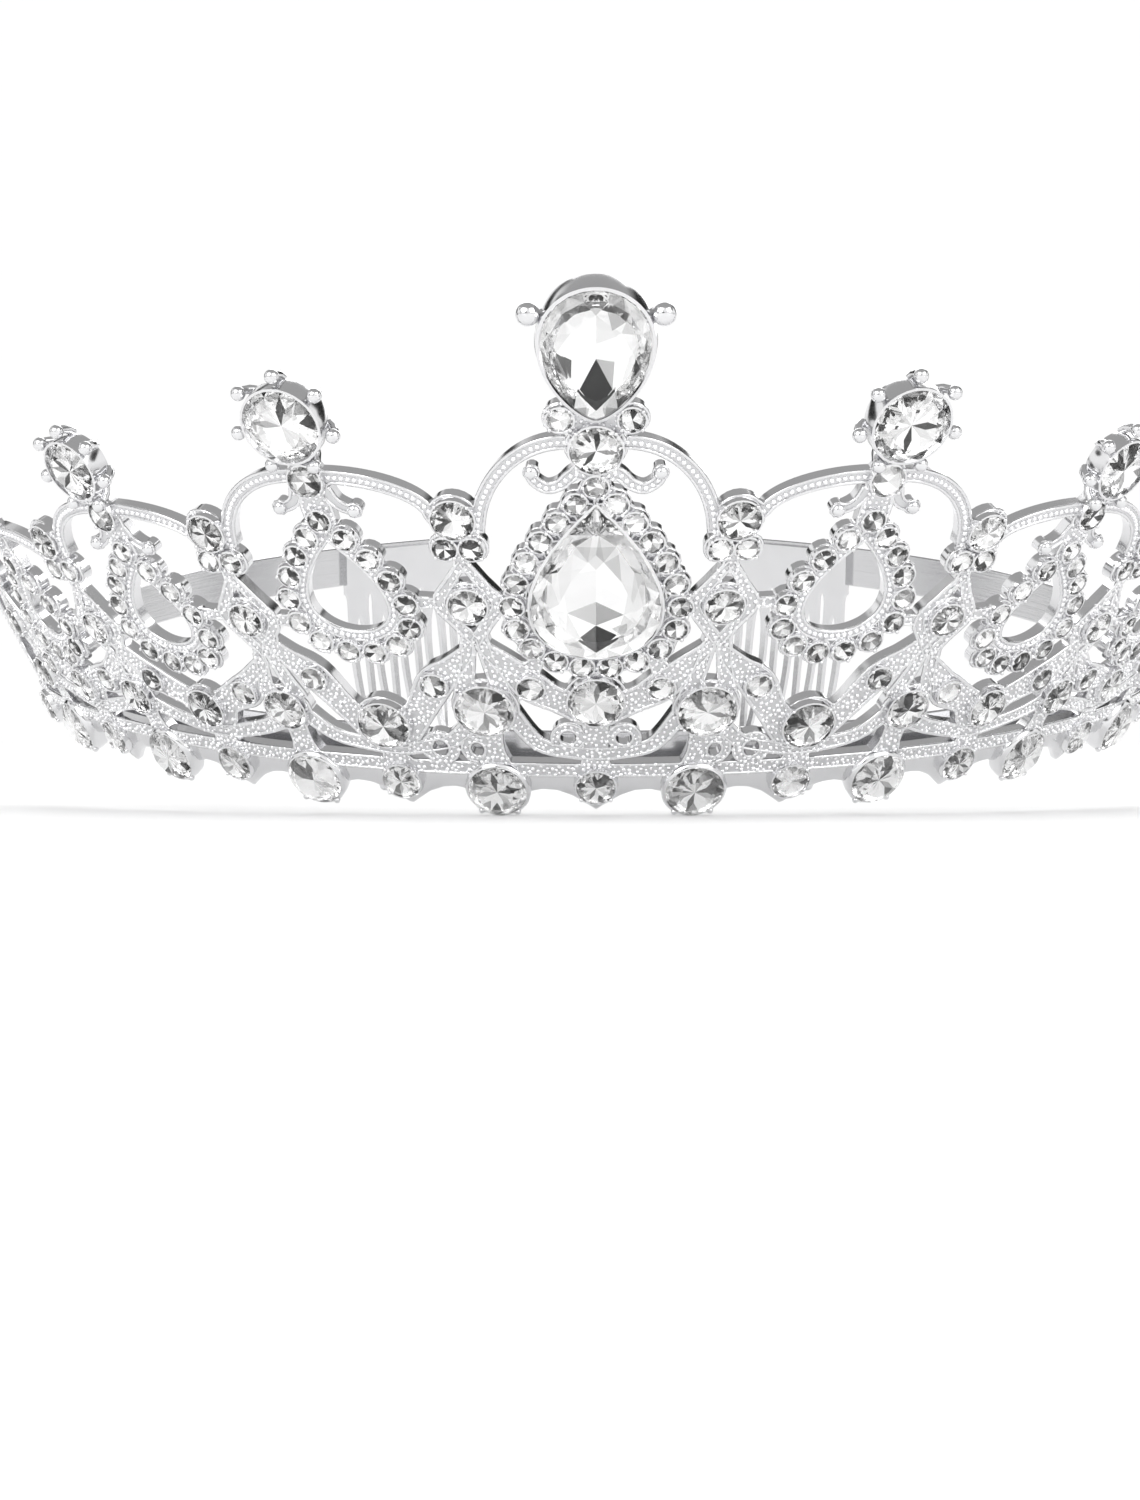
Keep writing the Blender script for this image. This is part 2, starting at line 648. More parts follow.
for n in PANELS:
    draw_neck(n)
    draw_arches(n)
    draw_halo(n)
    draw_crescent_and_garland(n)
    draw_links(n)
draw_middle_extras()
for n, side in [(n, side) for n in (-4, -2, 2, 4) for side in SIDES]:
    curl = on_side(side, SIDE_CURLS[abs(n)])
    beaded.extend(stroke(n, smooth_path(curl, 4)))
    curl_ends.append((n, *curl[-1][:2]))
for n, a, v in curl_ends:
    beaded.extend(disc(n, a, v, 0.7, 14))
for n in COLUMNS:
    draw_column(n)
for side in SIDES:
    draw_end(side)
band = [flat_place(x, 0, 0)[0] for x in evenly(LAST_AXIS, BAND_STEPS)]
stippled += cells(band, RIM_TOP - 0.5, BAND_TOP)

recessed_plating = plated("recessed_plating", (0.68, 0.68, 0.69), 0.3, 1500.0, 0.3)
flat_points, kept = pierce(stippled + beaded, holes)
lattice = Piece("lattice", polished_plating, recessed_plating)
points, faces = plate_between(flat_points, kept, bent, -FACE, FACE)
lattice.add(points, faces, [1] * len(kept) + [0] * (len(faces) - len(kept)))
lattice.make("metal", "metal", smooth_below=30)

# Raised borders: a fine round line follows every edge of the lattice, and runs on where crescents,
# garlands and columns cross. It is part of the casting and stands above the stippling.
EDGE_R = 0.19
EDGE_STEP = 0.28
RIDGE_R = 0.15
RIDGE_INSET = 0.12
RIDGE_FACE = FACE + 0.04
WIRE_SIDES = 6


def growing_tree(name, sizes, material, build):
    """Geometry nodes with named sizes: build makes metal on or along the given mesh."""
    tree = bpy.data.node_groups.new(name, "GeometryNodeTree")
    sockets = tree.interface
    sockets.new_socket("Geometry", in_out="INPUT", socket_type="NodeSocketGeometry")
    for label in sizes:
        sockets.new_socket(label, in_out="INPUT", socket_type="NodeSocketFloat")
    sockets.new_socket("Geometry", in_out="OUTPUT", socket_type="NodeSocketGeometry")
    made = build(tree, tree.nodes.new("NodeGroupInput").outputs)
    made = wired(tree, "GeometryNodeRealizeInstances", Geometry=made)
    made = wired(tree, "GeometryNodeSetShadeSmooth", Geometry=made)
    made = wired(tree, "GeometryNodeSetMaterial", Geometry=made, Material=material)
    wired(tree, "NodeGroupOutput", Geometry=made)
    return tree


def grown(name, tree, points, edges=(), faces=(), **sizes):
    """A piece of plain mesh: what the tree makes on the given points, with sizes in millimetres."""
    mesh = bpy.data.meshes.new(name + "_base")
    mesh.from_pydata([tuple(rested(p)) for p in points], edges, faces)
    base = placed(name + "_base", mesh)
    modifier = base.modifiers.new("grow", "NODES")
    modifier.node_group = tree
    for socket in tree.interface.items_tree:
        if socket.in_out == "INPUT" and socket.name in sizes:
            modifier[socket.identifier] = sizes[socket.name] * MM
    bpy.context.view_layer.update()
    evaluated = base.evaluated_get(bpy.context.evaluated_depsgraph_get())
    result = bpy.data.meshes.new_from_object(evaluated)
    base.modifiers.remove(modifier)
    bpy.data.objects.remove(base)
    finished(name, result, "metal", "metal")


def round_wire(tree, given, size="Radius"):
    """A round wire along every line of the given mesh."""
    path = wired(tree, "GeometryNodeMeshToCurve", Mesh=given["Geometry"])
    section = wired(tree, "GeometryNodeCurvePrimitiveCircle", Resolution=WIRE_SIDES,
                    Radius=given[size])
    return wired(tree, "GeometryNodeCurveToMesh", Fill_Caps=True, Curve=path, Profile_Curve=section)


def lines(paths, closed=False):
    """Points and edges of many paths, each open or closed on itself."""
    points, edges = [], []
    for path in paths:
        first, count = len(points), len(path)
        points += path
        edges += [(first + i, first + (i + 1) % count) for i in range(count - (not closed))]
    return points, edges


border_tree = growing_tree("borders", ("Radius",), polished_plating, round_wire)
following, borders = {}, []
for a, b in sheet_edges(kept):
    following.setdefault(a, []).append(b)
while following:
    start = here = next(iter(following))
    spaced = []
    while not spaced or here != start:
        if not spaced or (flat_points[here] - spaced[-1]).length > EDGE_STEP:
            spaced.append(flat_points[here])
        after = following[here].pop()
        if not following[here]:
            del following[here]
        here = after
    if len(spaced) > 4:
        borders.append([bent(*p) for p in spaced])
grown("lattice_edges", border_tree, *lines(borders, closed=True), Radius=EDGE_R)
borders = [[bent(*flat_place(n, *place), RIDGE_FACE) for place in line]
           for n, rows in ridges for line in zip(*edges_of(rows, RIDGE_INSET))]
grown("lattice_ridges", border_tree, *lines(borders), Radius=RIDGE_R)

# Stippling: the casting's flat faces are covered with fine raised grain, all but where a stone's
# seat is cut. The grain is of the same metal and is the brightest part of it.
GRAIN_SPACING = 0.46
GRAIN_R = 0.25
GRAIN_UNEVEN = 0.25
GRAIN_DENSITY = 2.0e7
GRAIN_SEED, UNEVEN_SEED = 7, 3
SWAG_SIDE = (6.7, 1.4)
grained_plating = plated("grained_plating", (0.97, 0.97, 0.98), 0.2, 2600.0, 0.5)


def balls(tree, points, radius, fineness, **more):
    """A round ball on every given point."""
    one = wired(tree, "GeometryNodeMeshIcoSphere", Radius=radius, Subdivisions=fineness)
    return wired(tree, "GeometryNodeInstanceOnPoints", Points=points, Instance=one, **more)


def scattered_grain(tree, given):
    """Small round grains scattered over the given faces, no two closer than the spacing."""
    scatter = wired(tree, "GeometryNodeDistributePointsOnFaces", distribute_method="POISSON",
                    Mesh=given["Geometry"], Distance_Min=given["Spacing"],
                    Density_Max=GRAIN_DENSITY, Seed=GRAIN_SEED)
    uneven = wired(tree, "FunctionNodeRandomValue", Min=1 - GRAIN_UNEVEN, Max=1 + GRAIN_UNEVEN,
                   Seed=UNEVEN_SEED)
    return balls(tree, scatter, given["Radius"], 1, Rotation=scatter.outputs["Rotation"],
                 Scale=uneven)


def spot(n, name):
    """Axis, across, up and radius of a stone that sits on an axis."""
    return n, 0, sizes_at(n)[name], sizes_at(n)[name + "_r"]


def halo_spots(n):
    return [(n, a, v, HALO_R) for a, v in halo_places(n)]


finials = [spot(n, "finial") for n in PANELS if n]
x, v, r = TREFOIL_PAIR
accents = [(n, side * x, sizes_at(n)["trefoil"] + v, r) for n in COLUMNS for side in SIDES]
x, r = SWAG_SIDE
accents += [(n, side * x, sizes_at(n)["swag_small"], r) for n in PANELS for side in SIDES]
accents += [spot(n, "small") for n in PANELS if n]
seats = accents + [spot(n, name) for n in COLUMNS for name in ("trefoil", "lozenge", "fork")]
seats += [(n, 0, 0, BASE_STONE_R) for n in COLUMNS] + finials
for n in PANELS:
    seats += halo_spots(n) + [spot(n, "swag")]
seats = [(Vector(flat_place(n, a, v)), r) for n, a, v, r in seats]

grain_faces = []
for triangle, inside in kept:
    middle = sum((flat_points[i] for i in triangle), Vector((0, 0))) / 3
    if min(inside) < len(stippled) and all((middle - seat).length > r for seat, r in seats):
        grain_faces.append(triangle)
grain_tree = growing_tree("stippling", ("Spacing", "Radius"), grained_plating, scattered_grain)
grown("lattice_grain", grain_tree, [bent(*p) for p in flat_points], faces=grain_faces,
      Spacing=GRAIN_SPACING, Radius=GRAIN_R)

# Bead rows: a line of small round beads runs along every scroll and round the open pears, between
# two smooth borders, and each curl ends in a larger bead. They are cast with the scrolls.
BEAD_SPACING = 0.68
BEAD_R = 0.3
CURL_BEAD_R = 0.78


def bead_row(tree, given):
    """Beads at an even spacing along every line of the given mesh."""
    path = wired(tree, "GeometryNodeMeshToCurve", Mesh=given["Geometry"])
    steps = wired(tree, "GeometryNodeResampleCurve", mode="LENGTH", Curve=path,
                  Length=given["Spacing"])
    return balls(tree, steps, given["Radius"], 2)


def single_beads(tree, given):
    return balls(tree, given["Geometry"], given["Radius"], 2)


row_tree = growing_tree("beading", ("Spacing", "Radius"), grained_plating, bead_row)
bead_lines = [[bent(*flat_place(n, *place)) for place in row] for n, row in bead_rows]
grown("scroll_beads", row_tree, *lines(bead_lines), Spacing=BEAD_SPACING, Radius=BEAD_R)
bead_tree = growing_tree("single_beads", ("Radius",), polished_plating, single_beads)
grown("curl_beads", bead_tree, [bent(*flat_place(*end)) for end in curl_ends], Radius=CURL_BEAD_R)

# Round stones: crystal brilliants with silvered backs, set in the casting's seats. Each has a
# table, stars, kites and a girdle over a star of pavilion facets. A real facet flashes white or
# goes dark with the light that it meets, so every facet has its own grey.
SEAT = 0.82
BASE_SEAT = 0.75
BASE_SHINE = 0.6
CROWN = 0.5
TABLE = 0.58
STAR = 0.79
STAR_HEIGHT = 0.56
GIRDLE = 0.42
GIRDLE_HALF = 0.05
PAVILION = 0.55
CROWN_ROUND = (42.1, 2.6)
SMALL_BASE = (0.6, 2.1)
LARGE_STONE = 1.9
SMALL_STAR = ((0.66, 0.5),)
LARGE_STAR = ((0.8, 0.3), (0.42, 0.74))
FACET_GREYS = ((0.52, 0.97, 1.0), (0.72, 0.65, 0.85), (0.87, 0.25, 0.45), (1.0, 0.02, 0.09))
CROWN_SHARE = 0.3
SCUFF_SCALE = 400.0
FACET_SEED = 5
draw = random.Random(FACET_SEED)


def facet_grey():
    """Most facets flash white, some are grey and a few nearly black."""
    pick = draw.random()
    for share, low, high in FACET_GREYS:
        if pick <= share:
            return draw.uniform(low, high)


def faceted(name, rough, **finish):
    """A clear or silvered stone, tinted by the grey of each facet."""
    material, tree, shader = new_material(name)
    wired(tree, shader, Base_Color=wired(tree, "ShaderNodeAttribute", attribute_name="facet_grey"),
          Roughness=noise_between(tree, object_place(tree), SCUFF_SCALE, 0.0, rough), **finish)
    return material


crystal = faceted("crystal", 0.03, Transmission_Weight=1.0, IOR=1.55)
silvered_back = faceted("silvered_back", 0.06, Metallic=1.0)


def facet_ring(outline, culet, scale, z, count, offset=0.0):
    """A ring of points on a stone's outline, drawn in towards its culet."""
    flat = [outline((k + offset) / count) for k in range(count)]
    return [Vector((*[c + (p - c) * scale for c, p in zip(culet, place)], z)) for place in flat]


def crown_facets(outline, height, mains, culet):
    """Table, stars, kites and girdle, and their greys. The last ring of points is the girdle's
    lower edge."""
    girdle = height * GIRDLE
    star_z = girdle + (height - girdle) * STAR_HEIGHT
    points = facet_ring(outline, culet, TABLE, height, mains)
    points += facet_ring(outline, culet, STAR, star_z, mains, 0.5)
    for z in (girdle + GIRDLE_HALF * height, girdle - GIRDLE_HALF * height):
        points += facet_ring(outline, culet, 1.0, z, 2 * mains)
    star, upper, lower = mains, 2 * mains, 4 * mains
    faces = [list(range(mains))]
    for k in range(mains):
        after, before = (k + 1) % mains, (k - 1) % mains
        main, half, next_main = upper + 2 * k, upper + 2 * k + 1, upper + 2 * after
        faces += [[k, star + k, after], [k, star + before, main, star + k],
                  [star + k, main, half], [star + k, half, next_main],
                  [main, main + 2 * mains, half + 2 * mains, half],
                  [half, half + 2 * mains, next_main + 2 * mains, next_main]]
    greys = [1.0] + [facet_grey() ** CROWN_SHARE for _ in faces[1:]]
    return points, faces, greys, lower


def star_cut(outline, height, mains, star):
    """A stone whose pavilion is a star of lozenges; star gives its rings as shares of the outline
    and of the depth. Returns points, faces, the number of them in the crown, and greys."""
    points, faces, greys, lower = crown_facets(outline, height, mains, (0.0, 0.0))
    crown = len(faces)
    girdle = height * GIRDLE
    rings = []
    for j, (scale, depth) in enumerate(star):
        rings.append(len(points))
        points += facet_ring(outline, (0, 0), scale, girdle * (1 - PAVILION * depth), mains,
                             0.5 * ((j + 1) % 2))
    culet = len(points)
    points.append(Vector((0, 0, girdle * (1 - PAVILION))))
    for k in range(mains):
        after, before = (k + 1) % mains, (k - 1) % mains
        down, half, down_next = lower + 2 * k, lower + 2 * k + 1, lower + 2 * after
        faces += [[down, rings[0] + k, half], [half, rings[0] + k, down_next]]
        for j, first in enumerate(rings):
            sides = (k, before) if j % 2 == 0 else (after, k)
            tip = rings[j + 1] + k if j + 1 < len(rings) else culet
            head = down if j == 0 else rings[j - 1] + k
            faces.append([tip, first + sides[0], head, first + sides[1]])
    return points, faces, crown, greys + [facet_grey() for _ in faces[crown:]]


def on_wall(n, a, v, w=0.0):
    """Frame of one place on the wall: x across, y up the wall, z out of it."""
    angle = wall_angle(n, a, v)
    facing = Matrix.Rotation(angle, 4, "Z") @ Matrix.Rotation(pi / 2 + LEAN, 4, "X")
    return Matrix.Translation(wall_place(angle, v, w)) @ facing


def about(seat, r, t, z):
    """Place at a radius and a turn about a seat's z."""
    return seat @ Vector((r * cos(t), r * sin(t), z))


def tag(n):
    return "centre" if n == 0 else ("left_" if n < 0 else "right_") + str(abs(n))


def set_stone(piece, seat, points, faces, crown, greys):
    """Puts a cut stone in its seat, with a clear crown and a silvered pavilion."""
    piece.add([seat @ p for p in points], faces, [0] * crown + [1] * (len(faces) - crown), greys)


cup_list = []


def round_stones(node, places, depth=SEAT, prongs=4, shine=1.0):
    """One piece for a node of round stones at (axis, across, up, radius), and notes their cups."""
    piece = Piece("stone_" + node, crystal, silvered_back)
    for n, a, v, r in places:
        seat, turn = on_wall(n, a, v, depth), Matrix.Rotation(draw.uniform(0, tau), 4, "Z")
        *cut, greys = star_cut(
            lambda share: about(Matrix(), r, tau * share, 0).to_2d(),
            r * CROWN, *((12, LARGE_STAR) if r >= LARGE_STONE else (8, SMALL_STAR)))
        set_stone(piece, seat @ turn, *cut, [grey ** shine for grey in greys])
        if prongs:
            cup_list.append((seat, r, prongs))
    piece.make("crystal", node)


for n in COLUMNS:
    round_stones("trefoil_round_" + tag(n), [spot(n, "trefoil")])
    round_stones("fork_round_" + tag(n), [spot(n, "fork")])
    round_stones("base_round_" + tag(n), [(n, 0, 0, BASE_STONE_R)], BASE_SEAT, 0, BASE_SHINE)
for n in PANELS:
    round_stones("swag_round_" + tag(n), [spot(n, "swag")])
    round_stones("halo_stones_" + tag(n), halo_spots(n), prongs=3)
    if n:
        round_stones("finial_" + tag(n), [spot(n, "finial")], prongs=0)
round_stones("crown_round", [(0, 0, *CROWN_ROUND)])
round_stones("lozenge_stones", [spot(n, "lozenge") for n in COLUMNS])
round_stones("base_small_stones", [(n, 0, *SMALL_BASE) for n in range(-8, 9, 2)], shine=BASE_SHINE)
x, v, r = TOP_PAIR
round_stones("accent_stones", accents + [(0, side * x, v, r) for side in SIDES])

# Cups: the round stones sit in thin collets that are drawn up to their girdles, with small prong
# beads pushed over the edge. The base stones' cups are deeper, go down through the rim and have two
# small feet, and the finials' cups flare. All are turned from the same plated metal.
PRONG_R = 0.23
CUP_FOOT = -0.6
FOOT_TURN = 0.6
FOOT_R = 0.36


def turned(seat, profile, sides):
    """A closed ring turned about the seat's z: profile is a closed loop of (radius, z)."""
    return skin([[about(seat, r, t, z) for r, z in profile] for t in turns(sides)], closed=True)


cups = Piece("cups", polished_plating)
prong_points = []
for seat, r, prongs in cup_list:
    top = r * CROWN * GIRDLE + 0.12
    cups.add(*turned(seat, ((r - 0.12, CUP_FOOT), (r + 0.26, CUP_FOOT), (r + 0.3, 0.0),
                            (r + 0.2, top), (r + 0.02, top + 0.04), (r - 0.06, 0.0)),
                     28 if r >= LARGE_STONE else 16))
    prong_points += [about(seat, r + 0.12, t, top + 0.08) for t in turns(prongs, 0.5)]
foot_points = []
r = BASE_STONE_R
for seat in [on_wall(n, 0, 0) for n in COLUMNS]:
    cups.add(*turned(seat, ((r - 0.3, -0.5), (r + 0.3, -0.5), (r + CUP_WALL, 0.2),
                            (r + CUP_WALL, CUP_FACE), (r + 0.15, CUP_FACE + 0.33),
                            (r + 0.02, CUP_FACE + 0.41), (r - 0.1, 0.6)), 40))
    foot_points += [about(seat, r + 0.3, -pi / 2 + side * FOOT_TURN, 1.2) for side in SIDES]
for n, _, v, r in finials:
    cups.add(*turned(on_wall(n, 0, v), ((r - 0.4, -0.7), (r - 0.1, -0.7), (r + 0.36, SEAT),
                                        (r + 0.3, SEAT + 0.35 * r), (r + 0.05, SEAT + 0.36 * r),
                                        (r - 0.1, SEAT)), 32))
cups.make("metal", "metal", smooth_below=50)
grown("cup_prongs", bead_tree, prong_points, Radius=PRONG_R)
grown("cup_feet", bead_tree, foot_points, Radius=FOOT_R)

# Claws: seven round rods rise from behind each finial stone and end in balls, and hold it like a
# small crown. They are cast with the finial's star.
CLAWS = 7
CLAW_REACH = ((0.1, -0.5), (0.7, 0.0), (1.15, 0.8), (1.25, 1.5))
CLAW_ROD_R = 0.5
CLAW_BALL_R = 0.75


def claw(tree, given):
    """A rod along every line of the given mesh, with a ball on its last point."""
    path = wired(tree, "GeometryNodeMeshToCurve", Mesh=given["Geometry"])
    ends = wired(tree, "GeometryNodeCurveEndpointSelection", Start_Size=0, End_Size=1)
    both = wired(tree, "GeometryNodeJoinGeometry", Geometry=round_wire(tree, given, "Rod"))
    return wired(tree, both, Geometry=balls(tree, path, given["Ball"], 3, Selection=ends))


rods = [[about(on_wall(n, 0, v), r + d, t - pi / 2, z) for d, z in CLAW_REACH]
        for n, _, v, r in finials for t in turns(CLAWS, 0.5)]
claw_tree = growing_tree("claws", ("Rod", "Ball"), polished_plating, claw)
grown("finial_claws", claw_tree, *lines(rods), Rod=CLAW_ROD_R, Ball=CLAW_BALL_R)

# Pears: two large drops of the same silvered crystal, cut with broad facets. The upper one is full
# and points down, and the lower one is slim, points up and fills the middle halo.
PEAR_RING = 0.84
PEAR_DEPTH = 0.5
PEAR_GREYS = (1.0, 0.98, 0.96, 0.94, 0.9, 0.84, 0.75)
# The keel is where pavilion facets meet (across, up), and marked facets have a set grey.
TOP_PEAR = {
    "up": sizes_at(0)["finial"], "seat": 1.12, "half": (5.25, 6.75), "slim": 0.4, "turn": -1,
    "height": 2.3, "mains": 12, "culet": (0.0, -0.5),
    "keel": ((0, -0.2), (-1.55, -3.4), (0, -5.6), (1.55, -3.4), (1.75, -0.5), (-2.3, -0.3),
             (-2.35, -2.2), (3.4, -0.1), (3.3, -2.2), (4.0, -1.3), (-3.5, 0.4), (-3.7, -1.2),
             (-2.2, 2.3), (0, 1.4), (2.2, 2.3), (0, 4.1)),
    "marked": (((0, 1, 2, 3), 0.02), ((0, 3, 4), 0.5), ((0, 5, 6, 1), 1.0), ((4, 7, 8, 3), 1.0),
               ((7, 9, 8), 0.08), ((5, 10, 6), 0.12), ((10, 11, 6), 0.3), ((0, 4, 14, 13), 0.93),
               ((0, 13, 12, 5), 0.98), ((13, 14, 15), 0.8), ((13, 15, 12), 1.0))}
MAIN_PEAR = {
    "up": sizes_at(0)["pear"], "seat": SEAT, "half": (6.6, 9.0), "slim": 1.0, "turn": 1,
    "height": 3.2, "mains": 14, "culet": (0.0, -1.5),
    "keel": ((0, -4.7), (0, -1.9), (-2.9, -3.2), (-1.6, -6.1), (0, -8.0), (2.1, -5.8),
             (2.8, -3.4), (-4.3, -2.6), (-3.5, 1.2), (-1.8, 4.2), (0, 1.9), (1.8, 4.2), (3.5, 1.2),
             (4.3, -2.6), (0, 5.6)),
    "marked": (((0, 1, 2), 0.62), ((0, 6, 1), 0.4), ((0, 3, 4), 0.12), ((0, 4, 5), 0.02),
               ((0, 2, 3), 1.0), ((0, 5, 6), 1.0), ((1, 10, 8, 2), 0.93), ((1, 6, 12, 10), 0.98),
               ((10, 11, 9), 0.82))}


def pear_outline(pear, out=0.0):
    half_w, half_h = pear["half"]

    def at(share):
        x, y = pear_point(share, half_w + out, half_h + out, pear["slim"])
        return pear["turn"] * x, pear["turn"] * y
    return at


def within(p, corners):
    hands = [(b[0] - a[0]) * (p[1] - a[1]) - (b[1] - a[1]) * (p[0] - a[0])
             for a, b in zip(corners, corners[1:] + corners[:1])]
    return min(hands) > 0 or max(hands) < 0


def pear_cut(pear):
    """A pear whose pavilion facets meet at chosen places; some of them have a chosen grey."""
    outline, height, mains = pear_outline(pear), pear["height"], pear["mains"]
    points, faces, greys, lower = crown_facets(outline, height, mains, pear["culet"])
    crown = len(faces)
    girdle = height * GIRDLE
    inner = list(pear["keel"])
    for k in range(mains):
        x, y = outline((k + 0.5) / mains)
        inner.append((x * PEAR_RING, y * PEAR_RING))
    flat = [points[lower + k].to_2d() for k in range(2 * mains)] + [Vector(p) for p in inner]
    half_w, half_h = pear["half"]
    for x, y in inner:
        deep = max(0.2, 1 - (x / half_w) ** 2 - (y / half_h) ** 2)
        points.append(Vector((x, y, girdle * (1 - PEAR_DEPTH * deep))))
    lines_kept = [(2 * mains + a, 2 * mains + b) for corners, _ in pear["marked"]
                  for a, b in zip(corners, corners[1:] + corners[:1])]
    _, _, triangles, owners, _, _ = delaunay_2d_cdt(flat, lines_kept, [], 0, 1e-5)
    for triangle in triangles:
        corners = [owners[i][0] for i in triangle]
        faces.append([lower + i for i in corners[::-1]])
        middle = sum((flat[i] for i in corners), Vector((0, 0))) / 3
        grey = draw.choice(PEAR_GREYS)
        for spots, chosen in pear["marked"]:
            if within(middle, [inner[i] for i in spots]):
                grey = chosen
        greys.append(grey)
    return points, faces, crown, greys


for name, pear in (("top_pear", TOP_PEAR), ("main_pear", MAIN_PEAR)):
    stone = Piece("stone_" + name, crystal, silvered_back)
    set_stone(stone, on_wall(0, 0, pear["up"], pear["seat"]), *pear_cut(pear))
    stone.make("crystal", name)

# Pear settings: a thin polished rail goes round each pear and is burnished over its edge. The upper
# one also has two prongs that end in balls beside its shoulders.
RAIL_STEPS = 84
RAIL_GAP = 0.08
TOP_RAIL = ((-0.3, -0.6), (0.3, -0.6), (0.5, 1.1), (0.36, 2.2), (0.06, 2.3), (-0.05, 1.1))
MAIN_RAIL = ((-0.5, -0.3), (0.2, -0.3), (0.36, 0.8), (0.24, 2.2), (0.02, 2.28), (-0.06, 0.8))
PRONG_REACH = ((4.4, 3.0, 0.2), (5.4, 3.5, 0.7), (6.3, 4.0, 1.4))


def rail(pear, profile):
    """A wall round a pear: profile is a closed loop of (outward, z)."""
    seat, outline, loops = on_wall(0, 0, pear["up"]), pear_outline(pear, RAIL_GAP), []
    for d, z in profile:
        rows = [(*outline(i / RAIL_STEPS), 2 * d) for i in range(RAIL_STEPS)]
        loops.append([seat @ Vector((*outer, z)) for _, outer in edges_of(rows, closed=True)])
    return skin(list(zip(*loops)), closed=True)


rails = Piece("pear_rails", polished_plating)
rails.add(*rail(TOP_PEAR, TOP_RAIL))
rails.add(*rail(MAIN_PEAR, MAIN_RAIL))
rails.make("metal", "metal", smooth_below=50)
rods = [[on_wall(0, side * a, TOP_PEAR["up"] + v, w).translation for a, v, w in PRONG_REACH]
        for side in SIDES]
grown("pear_prongs", claw_tree, *lines(rods), Rod=0.75, Ball=1.15)

# Floor: plain white paper, wide enough to meet the background behind the tiara.
FLOOR_HALF = 6.0
floor_mesh = bpy.data.meshes.new("floor")
floor_mesh.from_pydata([(FLOOR_HALF * x, FLOOR_HALF * y, 0)
                        for x, y in ((-1, -1), (1, -1), (1, 1), (-1, 1))], [], [[0, 1, 2, 3]])
white_paper, paper_tree, paper_shader = new_material("white_paper")
wired(paper_tree, paper_shader, Base_Color=(0.93, 0.93, 0.93, 1), Roughness=0.7)
floor_mesh.materials.append(white_paper)
placed("floor", floor_mesh)

# Studio: a bright room with darker patches and a dark ceiling, so that the plating and the facets
# have something to reflect. Three soft lamps give the highlights, and a broad one lights the floor.
ROOM_HEIGHTS = ((0.0, 0.72), (0.25, 1.0), (0.62, 1.0), (0.8, 0.3), (1.0, 0.3))
CEILING = ((0.6, 0.0), (0.75, 0.4))
PATCH_SCALE = 2.6
PATCHES = ((0.38, 0.02), (0.45, 1.0))
BACKGROUND = (0.96, 0.96, 0.96, 1)
ROOM_STRENGTH = 1.05
LAMP_AIM = Vector((0, -0.05, 0.02))
LAMPS = (("key", (-0.55, -0.8, 0.55), 0.7, 5.5), ("fill", (0.65, -0.7, 0.5), 0.7, 4.0),
         ("back", (0.1, 0.9, 0.6), 0.8, 3.0))
BROAD_ANGLE = 110
BROAD_TILT = 35
BROAD_ENERGY = 2.5

studio = bpy.data.worlds.new("studio")
bpy.context.scene.world = studio
studio.use_nodes = True
room = studio.node_tree


def ramp(stops, source):
    node = wired(room, "ShaderNodeValToRGB", Fac=source)
    elements = node.color_ramp.elements
    for element, (position, grey) in zip(elements, (stops[0], stops[-1])):
        element.position = position
        element.color = (grey, grey, grey, 1)
    for position, grey in stops[1:-1]:
        elements.new(position).color = (grey, grey, grey, 1)
    return node


def mixed(blend, factor, a, b):
    return wired(room, "ShaderNodeMix", data_type="RGBA", blend_type=blend, Factor=factor, A=a, B=b)


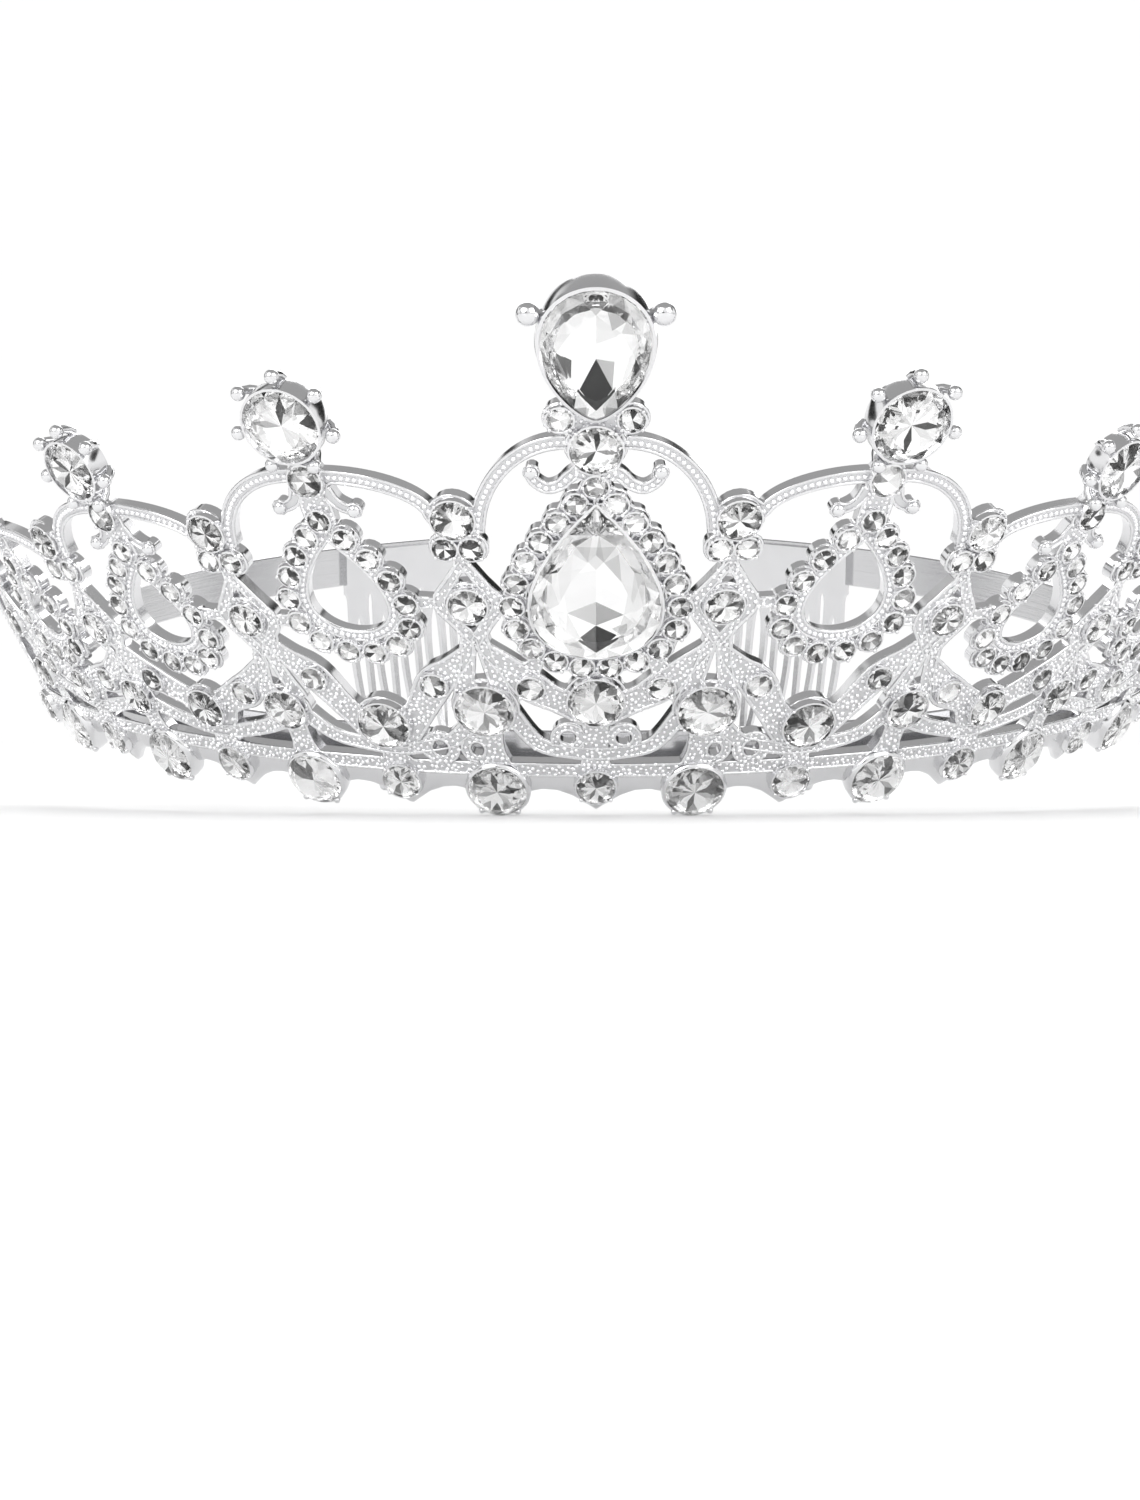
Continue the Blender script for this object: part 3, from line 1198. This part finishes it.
direction = wired(room, "ShaderNodeTexCoord").outputs["Generated"]
height = wired(room, "ShaderNodeSeparateXYZ", Vector=direction).outputs["Z"]
patches = wired(room, "ShaderNodeTexNoise", Scale=PATCH_SCALE, Detail=0.0, Vector=direction)
walls = mixed("MULTIPLY", 1.0, ramp(ROOM_HEIGHTS, height), ramp(PATCHES, patches))
walls = mixed("LIGHTEN", 1.0, walls, ramp(CEILING, height))
seen = wired(room, "ShaderNodeLightPath").outputs["Is Camera Ray"]
wired(room, room.nodes["Background"], Color=mixed("MIX", seen, walls, BACKGROUND),
      Strength=ROOM_STRENGTH)

for name, place, size, energy in LAMPS:
    light = bpy.data.lights.new(name, "AREA")
    light.size = size
    light.energy = energy
    lamp = placed(name, light)
    lamp.location = place
    lamp.rotation_euler = (LAMP_AIM - Vector(place)).to_track_quat("-Z", "Y").to_euler()
    lamp.visible_diffuse = False
broad_light = bpy.data.lights.new("floor_light", "SUN")
broad_light.angle = radians(BROAD_ANGLE)
broad_light.energy = BROAD_ENERGY
broad_lamp = placed("floor_light", broad_light)
broad_lamp.rotation_euler = (radians(BROAD_TILT), 0, 0)
broad_lamp.visible_glossy = False

# Camera: just above the floor, straight in front, looking a little up, with the front as large in
# the frame and as high in it as in the photograph.
IMAGE_W, IMAGE_H = 1140, 1500
FOCAL_PX = 2580
CENTRE_PX = 596
FRONT_PX = 563
FRONT_MIDDLE = (28.65, 0.6)
FRONT_DISTANCE = 0.258
EYE_HEIGHT = 0.008
camera_data = bpy.data.cameras.new("camera")
camera_data.sensor_fit = "HORIZONTAL"
camera_data.sensor_width = 36.0
camera_data.lens = 36.0 * FOCAL_PX / IMAGE_W
camera_data.clip_start = 0.001
camera = placed("camera", camera_data)
middle = rested(wall_place(0, *FRONT_MIDDLE))
eye = Vector((0, middle.y - FRONT_DISTANCE, EYE_HEIGHT))
rise = atan2(middle.z - eye.z, middle.y - eye.y)
pitch_up = rise - atan((IMAGE_H / 2 - FRONT_PX) / FOCAL_PX)
camera.location = eye
camera.rotation_euler = (pi / 2 + pitch_up, 0, atan((CENTRE_PX - IMAGE_W / 2) / FOCAL_PX))
scene = bpy.context.scene
scene.camera = camera
scene.view_settings.view_transform = "Standard"
# Light goes many times to and fro inside a cut stone before it comes out, so it may bounce often.
scene.cycles.max_bounces = 20
scene.cycles.glossy_bounces = 12
scene.cycles.transmission_bounces = 20
